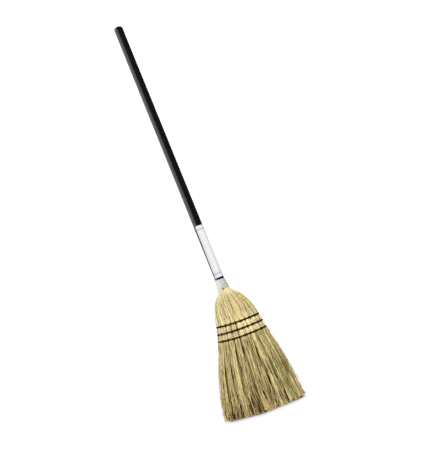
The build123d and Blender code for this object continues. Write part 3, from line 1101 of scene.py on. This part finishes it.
def stitch_path(row, groove):
    """A loop of twine through the head at a groove, over both turns on the front and on the back."""
    share = -1 + 2 * groove / hurl_columns
    angle = asin(copysign(abs(share) ** (sewn_squareness / 2), share))
    middle = row_height(row, share)
    below, width, above = (station_at(middle + lift * stitch_height).width for lift in (-1, 0, 1))
    path = []
    for side_angle, turn in ((angle, 1), (pi - angle, -1)):
        for step in range(stitch_steps + 1):
            swing = pi * step / stitch_steps
            lift = turn * cos(swing)
            rise = stitch_rise * sin(swing) ** stitch_roundness
            crossing = twine_point(row, side_angle, lift * stitch_height, rise)
            crossing.x += (mix(below, above, (1 + lift) / 2) - width) * share + stitch_slant * lift
            path.append(crossing)
    return path


def make_label():
    """The paper round the handle, a little lifted along both edges of its open strip."""
    points, skins = [], []
    for skin in (label_thickness, 0):
        rows = []
        for row in range(label_rows + 1):
            rise = row / label_rows
            start, end = mix(*label_start, rise), mix(*label_end, rise)
            height = mix(label_low.z, label_high.z, rise)
            rows.append(range(len(points), len(points) + label_columns + 1))
            for column in range(label_columns + 1):
                angle = radians(mix(start, end, column / label_columns))
                from_edge = min(column, label_columns - column) / label_columns
                from_edge *= radians(end - start) * handle_radius
                lift = label_lift * exp(-from_edge / label_lift_reach)
                radius = handle_radius + label_gap + skin + lift
                points.append((axis_x + radius * cos(angle), radius * sin(angle), height))
        skins.append(rows)
    mesh = new_mesh("label_sheet", points, [], sheet_faces(*skins))
    mesh.materials.append(materials["label_paper"])
    sheet = put("label_sheet", mesh)
    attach(sheet, "root")
    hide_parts("label")


def make_winding(tree):
    mesh = path_mesh("winding_path", [wire_path()], closed=False)
    values = dict(plies=1, sides=8, spacing=1.8 * mm, lay=1.0, ply_radius=wire_drawn_radius)
    shape_piece("close_winding", mesh, tree, values, "binding_wire", "tinned_wire")


def make_sewing(tree):
    values = dict(
        plies=3, sides=5, spacing=0.8 * mm, lay=twine_lay, ply_offset=twine_ply_offset,
        ply_radius=twine_ply_radius,
    )
    for row in range(row_count):
        band = path_mesh(f"band_path_{row + 1}", [band_path(row)], closed=False)
        shape_piece(f"twine_row_{row + 1}", band, tree, values, f"sewing_band_{row + 1}", "sewing_twine")
        loops = [stitch_path(row, groove) for groove in range(1, hurl_columns)]
        loops = path_mesh(f"stitch_paths_{row + 1}", loops, closed=True)
        shape_piece(f"twine_stitches_{row + 1}", loops, tree, values, f"stitches_{row + 1}", "sewing_twine")


# Solids that are shown as they are, with their own finish
for node, finish in (("handle", "stained_wood"), ("neck_nail", "nail_steel")):
    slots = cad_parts[node].data.materials
    slots.clear()
    slots.append(materials[finish])
make_label()
make_corn()
cords = cord_tree()
make_winding(cords)
make_sewing(cords)


# Stage, light and camera

# Floor: its rise to the left tips, how brightly it is seen and lights the broom, and the shadow painted on it
floor_reach = 40
floor_ramp = 4 * tip_width
floor_glow = 1.04
floor_bounce = 0.3
shadow_strength = 0.78
shadow_shift = 3 * mm
shadow_inset = 12 * mm
shadow_edge = 7 * mm
shadow_taper = 0.6
shadow_spread = 0.5
shadow_reach = 24 * mm

# Sky: its strength as seen, as it lights the broom, and in glossy surfaces
sky_seen = 1.2
sky_light = 0.46
sky_gloss = 0.04

# Panels of light: name, place, what each faces, size, power, and whether it only shows in glossy surfaces
panels = (
    ("left_panel", (-1.1, -0.5, 1.2), (0, -0.5, 1.2), (3.0, 2.2), 42, True),
    ("back_panel", (0.4, 2.4, 1.2), (0.1, 0, 1.2), (1.4, 2.2), 30, True),
    ("key", (-0.8, -1.7, 1.0), (0, 0, 0.25), (0.4, 0.4), 36.5, False),
    ("right_fill", (1.6, -1.0, 0.9), (0, 0, 0.25), (0.4, 0.4), 25, False),
    ("back_fill", (0.7, 1.9, 1.2), (0, 0, 0.3), (0.6, 0.6), 44, False),
)

# The camera as fitted to the photograph, tipped up and rolled so that the broom leans to the left
picture_height = 462
focal_pixels = 657.0
sensor_size = 36
camera_pitch = 10
camera_roll = 22.27
camera_distance = 1.5
camera_reach = 200
camera_target = Vector((axis_x + 31.4 * mm, 0, 410.7 * mm))


def studio_floor(build, place):
    """An even glow, with a soft shadow under and around the tips."""
    sideways = (build.axis(place, "X") - (axis_x - tip_lean + shadow_shift)).absolute()
    ahead = (build.axis(place, "Y").absolute() - (tip_depth / 2 - shadow_edge)).at_least(0)
    taper = ahead * -shadow_taper + (tip_width / 2 - shadow_inset)
    beside = (sideways - taper).at_least(0)
    away = (beside / (ahead * shadow_spread + shadow_edge)) ** 2 + ahead / shadow_reach
    darkness = (away * -1).exponent() * shadow_strength
    seen = build.out(build.add("ShaderNodeLightPath"), "Is Camera Ray")
    return {
        "Base Color": (0, 0, 0, 1),
        "Roughness": 1.0,
        "Specular IOR Level": 0.0,
        "Emission Color": build.mix_colors((1, 1, 1, 1), (0, 0, 0, 1), darkness),
        "Emission Strength": build.mix(floor_bounce, floor_glow, seen),
    }


def make_floor():
    """A white floor that meets the tips."""
    left_tip = axis_x - tip_lean - tip_width / 2
    stops = [-floor_reach, left_tip - floor_ramp, left_tip, axis_x - tip_rise_start, floor_reach]
    corners = []
    for x in stops:
        height = tip_lift(x) if x == left_tip else 0
        corners += [(x, -floor_reach, height), (x, floor_reach, height)]
    strips = [(2 * i, 2 * i + 2, 2 * i + 3, 2 * i + 1) for i in range(len(stops) - 1)]
    mesh = new_mesh("floor", corners, [], strips)
    mesh.materials.append(new_material(studio_floor))
    floor = put("floor", mesh)


def make_world():
    world = bpy.data.worlds.new("studio")
    scene.world = world
    world.use_nodes = True
    world.node_tree.nodes.clear()
    build = Tree(world.node_tree)
    path = build.add("ShaderNodeLightPath")
    unseen = build.mix(sky_light, sky_gloss, build.out(path, "Is Glossy Ray"))
    strength = build.mix(unseen, sky_seen, build.out(path, "Is Camera Ray"))
    sky = build.add("ShaderNodeBackground", {"Color": (1, 1, 1, 1), "Strength": strength})
    build.add("ShaderNodeOutputWorld", {"Surface": sky})


def make_light(name, place, target, size, energy, gloss_only):
    """A panel of light: one that lights the corn and paper, or one that only shows in glossy surfaces."""
    light = bpy.data.lights.new(name, "AREA")
    light.shape = "RECTANGLE"
    light.size, light.size_y = size
    light.energy = energy
    lamp = put(name, light)
    lamp.location = place
    lamp.rotation_euler = (Vector(target) - Vector(place)).to_track_quat("-Z", "Y").to_euler()
    lamp.visible_glossy = gloss_only
    lamp.visible_diffuse = not gloss_only
    lamp.visible_camera = False


def make_camera():
    camera = bpy.data.cameras.new("camera")
    camera.sensor_width = sensor_size
    camera.lens = focal_pixels * sensor_size / picture_height
    camera.clip_end = camera_reach
    pitch = radians(camera_pitch)
    ahead = Vector((0, cos(pitch), sin(pitch)))
    turn = Matrix.Rotation(radians(90 + camera_pitch), 4, "X")
    roll = Matrix.Rotation(radians(-camera_roll), 4, "Z")
    holder = put("camera", camera)
    holder.matrix_world = Matrix.Translation(camera_target - ahead * camera_distance) @ turn @ roll
    scene.camera = holder


make_floor()
make_world()
for panel in panels:
    make_light(*panel)
make_camera()
scene.view_settings.view_transform = "Standard"
